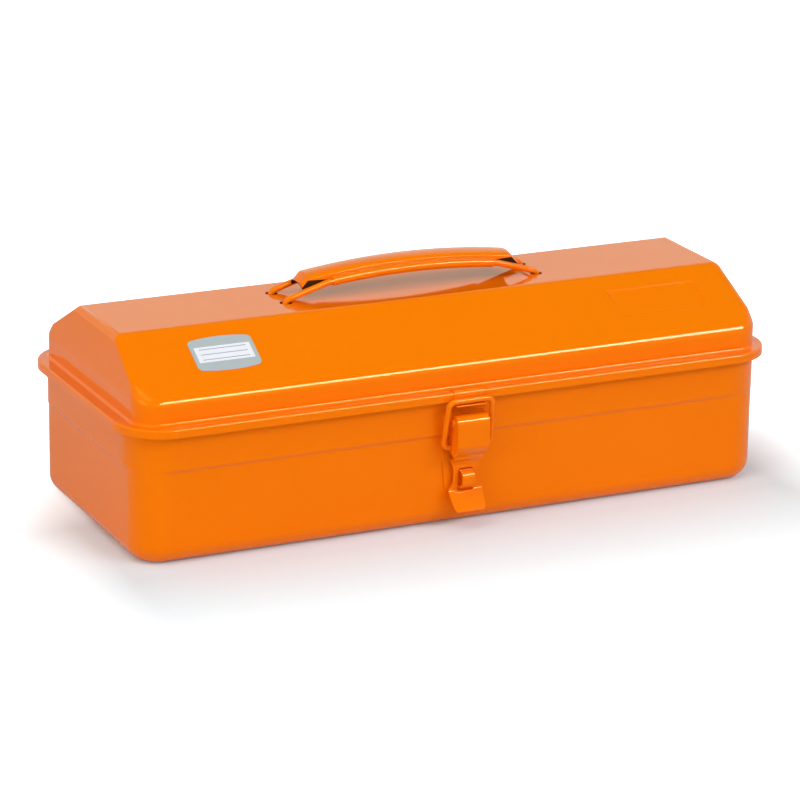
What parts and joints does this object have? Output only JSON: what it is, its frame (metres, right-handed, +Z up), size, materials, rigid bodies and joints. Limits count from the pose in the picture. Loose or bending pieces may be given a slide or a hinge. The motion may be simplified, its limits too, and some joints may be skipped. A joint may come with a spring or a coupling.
{
  "type": "tool box",
  "caption": "Pressed steel hand tool box with a stepped tub, a hinged hip-roofed lid, a lifting handle and an over-centre draw latch.",
  "frame": {"origin": "middle of the tub's flat bottom, on the surface that the box stands on", "axes": "+X along the length, the latch on the -Y side and the hinges on the +Y side, +Z up"},
  "size_m": [0.359, 0.1622, 0.1234],
  "materials": {
    "enamel": "gloss",
    "label": "satin"
  },
  "bodies": {
    "tub": {"body_tub": "enamel", "latch_base": "enamel", "latch_staple": "enamel", "latch_pivot_pin": "enamel", "hinge_left_tub_leaf": "enamel", "hinge_left_pin": "enamel", "hinge_right_tub_leaf": "enamel", "hinge_right_pin": "enamel"},
    "lid": {"lid_shell": "enamel", "lid_keeper": "enamel", "label": "label", "hinge_left_lid_leaf": "enamel", "hinge_right_lid_leaf": "enamel"},
    "handle": {"handle_wire": "enamel", "handle_grip": "enamel"},
    "lever": {"latch_lever": "enamel"},
    "bail": {"latch_bail": "enamel"}
  },
  "joints": [
    {"name": "lid_hinge", "type": "hinge", "parent": "tub", "child": "lid", "pos_m": [0, 0.07805, 0.07025], "axis": [-1, 0, 0], "range_deg": [0, 105]},
    {"name": "handle_lift", "type": "slide", "parent": "lid", "child": "handle", "axis": [0, 0, 1], "range_m": [0, 0.0175]},
    {"name": "lever_pivot", "type": "hinge", "parent": "tub", "child": "lever", "pos_m": [0, -0.076, 0.0564], "axis": [-1, 0, 0], "range_deg": [0, 115]},
    {"name": "bail_pivot", "type": "hinge", "parent": "lever", "child": "bail", "pos_m": [0, -0.0736, 0.043], "axis": [-1, 0, 0], "range_deg": [-115, 0]}
  ],
  "couplings": [
    {"joint": "bail_pivot", "follows": "lever_pivot", "ratio": -1}
  ]
}
